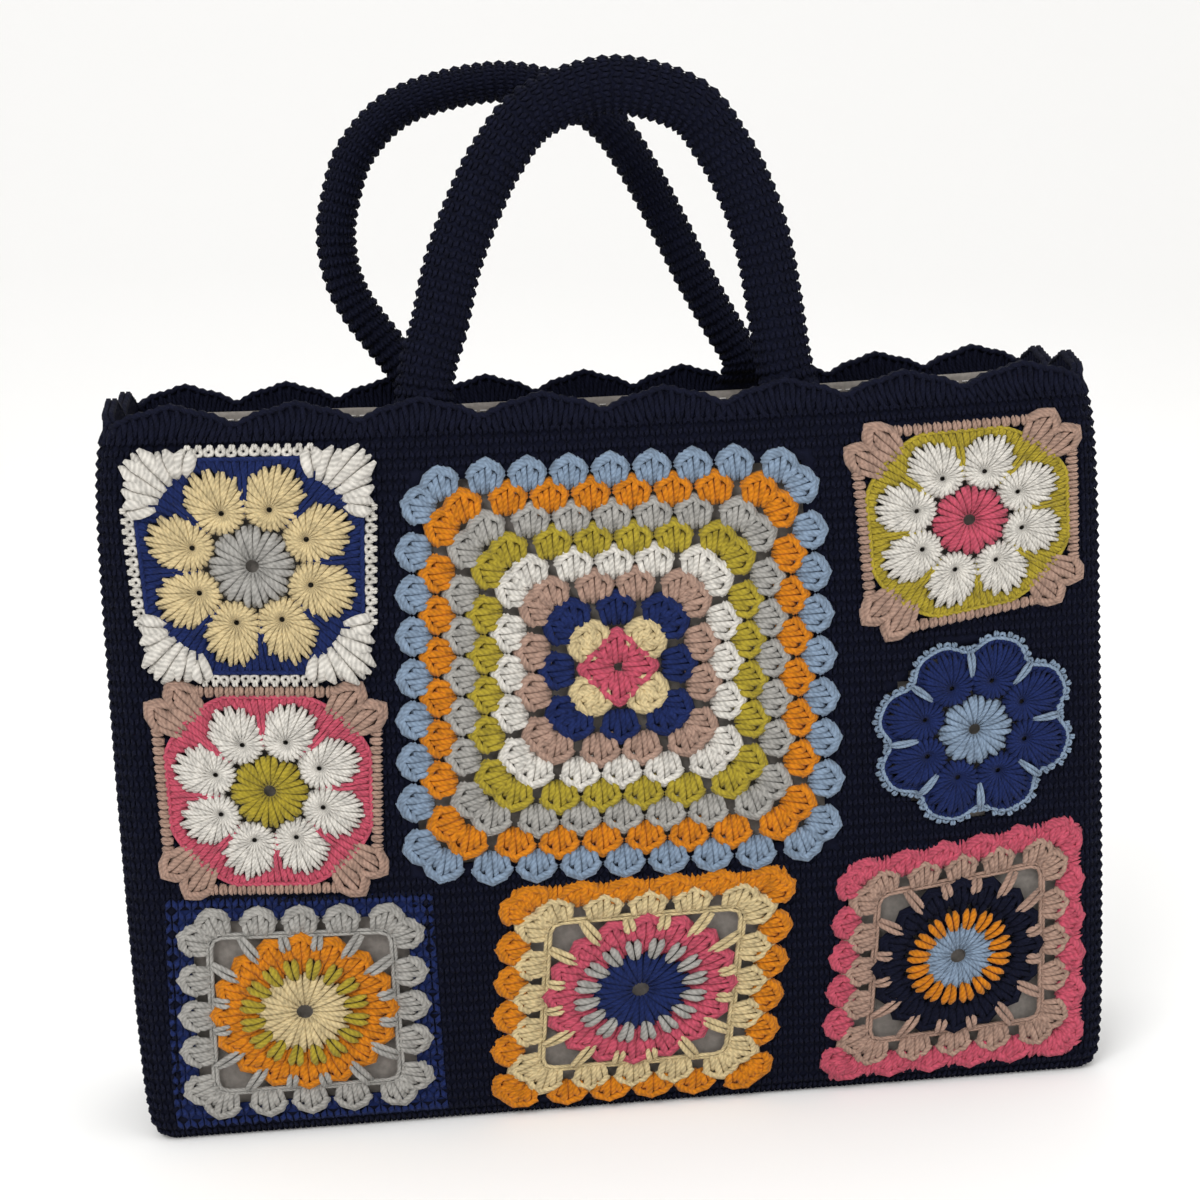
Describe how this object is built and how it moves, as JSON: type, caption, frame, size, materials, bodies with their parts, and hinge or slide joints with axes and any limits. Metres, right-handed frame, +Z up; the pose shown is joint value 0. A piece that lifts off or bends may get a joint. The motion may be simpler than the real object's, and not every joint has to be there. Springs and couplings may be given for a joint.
{
  "type": "crochet handbag",
  "caption": "Upright crochet handbag with motif squares on its front, a scalloped rim, a cotton lining and a pair of padded tube handles.",
  "frame": {"origin": "on the ground, under the middle of the bag's flat base", "axes": "+Z up, +X across the front to the bag's right as seen in the picture, the motif front faces -Y"},
  "size_m": [0.4704, 0.1217, 0.4969],
  "materials": {
    "navy_yarn": "matt mercerised cotton yarn, very dark navy",
    "royal_yarn": "cotton yarn, royal blue",
    "sky_yarn": "cotton yarn, light blue",
    "white_yarn": "cotton yarn, off white",
    "cream_yarn": "cotton yarn, warm cream",
    "grey_yarn": "cotton yarn, light grey",
    "tan_yarn": "cotton yarn, rose tan",
    "pink_yarn": "cotton yarn, strong pink",
    "orange_yarn": "cotton yarn, orange",
    "lining_cotton": "plain woven cotton, beige grey, folded and stitched hem"
  },
  "bodies": {
    "root": {"front_panel": "navy_yarn", "back_panel": "navy_yarn", "side_left": "navy_yarn", "side_right": "navy_yarn", "base_panel": "navy_yarn", "rim_front": "navy_yarn", "rim_back": "navy_yarn", "rim_left": "navy_yarn", "rim_right": "navy_yarn", "handle_front": "navy_yarn", "handle_back": "navy_yarn", "lining": "lining_cotton", "flower_left_top": "royal_yarn", "flower_left_middle": "pink_yarn", "sunburst_left": "grey_yarn", "granny_centre": "orange_yarn", "sunburst_middle": "cream_yarn", "flower_right_top": "white_yarn", "flower_right_middle": "sky_yarn", "sunburst_right": "tan_yarn"}
  },
  "joints": []
}
